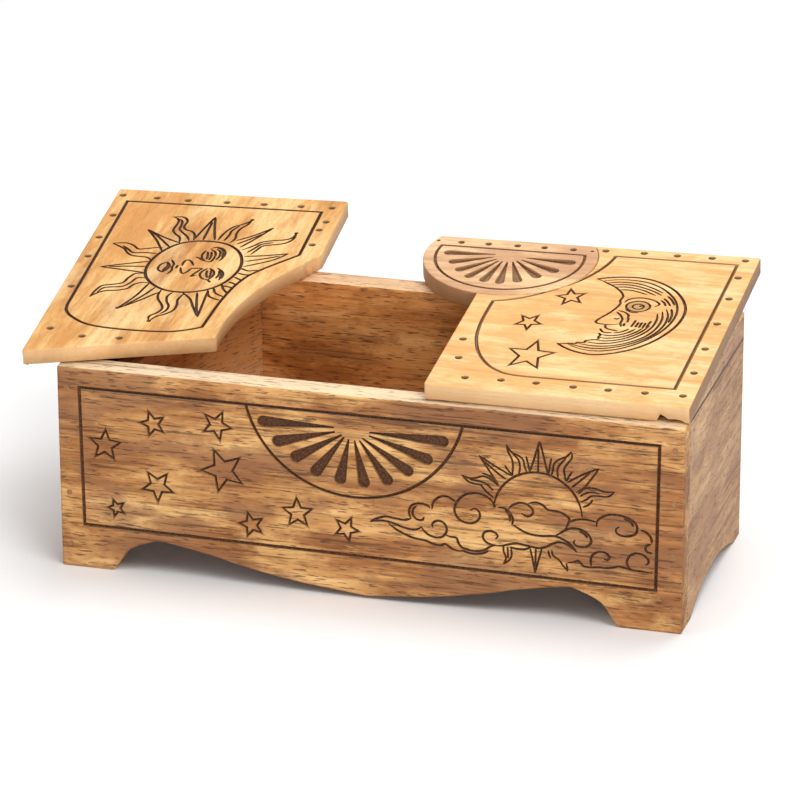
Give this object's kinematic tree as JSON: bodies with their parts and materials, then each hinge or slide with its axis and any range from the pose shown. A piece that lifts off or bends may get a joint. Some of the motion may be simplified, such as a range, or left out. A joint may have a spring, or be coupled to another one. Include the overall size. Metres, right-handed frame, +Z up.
{
  "type": "keepsake box",
  "caption": "Nailed wooden keepsake box on scrolled feet, with a sloping rim, an inner divider, and loose lids carved with a sun face, a moon face and a fan.",
  "frame": {"origin": "on the ground under the middle of the whole part with its lids as they lie in the picture", "axes": "+X to the right along the carved front, +Y from front to back, +Z up"},
  "size_m": [0.2864, 0.1654, 0.1114],
  "materials": {
    "box_wood": "waxed, streaked grain",
    "inner_wood": "bare planed",
    "left_lid_wood": "waxed",
    "right_lid_wood": "waxed",
    "fan_wood": "waxed",
    "dowel_wood": "bare",
    "brad_steel": "dull"
  },
  "bodies": {
    "box": {"front_panel": "box_wood", "back_panel": "box_wood", "left_side_board": "box_wood", "right_side_board": "box_wood", "left_side_strip": "box_wood", "right_side_strip": "box_wood", "bottom_board": "inner_wood", "divider": "inner_wood", "front_ledger": "inner_wood", "back_ledger": "inner_wood", "left_ledger": "inner_wood", "right_ledger": "inner_wood", "front_brads": "brad_steel", "back_brads": "brad_steel", "floor_brads": "brad_steel", "ledger_brads": "brad_steel", "strip_dowels": "dowel_wood"},
    "left_lid": {"left_lid": "left_lid_wood"},
    "right_lid": {"right_lid": "right_lid_wood", "fan_medallion": "fan_wood", "fan_dowels": "dowel_wood"}
  },
  "joints": [
    {"name": "left_lid_lift", "type": "slide", "parent": "box", "child": "left_lid", "axis": [0, -0.1045, 0.9945], "range_m": [0, 0.08]},
    {"name": "right_lid_lift", "type": "slide", "parent": "box", "child": "right_lid", "axis": [0, -0.1045, 0.9945], "range_m": [0, 0.08]}
  ]
}
